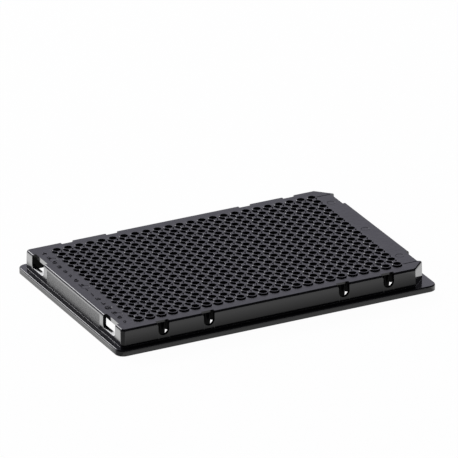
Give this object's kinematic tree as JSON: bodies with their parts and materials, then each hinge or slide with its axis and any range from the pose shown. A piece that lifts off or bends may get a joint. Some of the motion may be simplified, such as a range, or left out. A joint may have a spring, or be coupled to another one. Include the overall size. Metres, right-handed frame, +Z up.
{
  "type": "pcr plate",
  "caption": "Low skirted PCR plate: a flat deck with a dense grid of thin tapered wells, raised rims that ribs join, side walls with slots and windows, and a base flange.",
  "frame": {"origin": "centre of the footprint on the surface that the plate stands on", "axes": "+X along the columns' numbering, +Y towards row A, +Z up out of the wells"},
  "size_m": [0.1278, 0.0854, 0.0096],
  "materials": {
    "plastic": "black polypropylene, slightly glossy"
  },
  "bodies": {
    "root": {"plate": "plastic"}
  },
  "joints": []
}
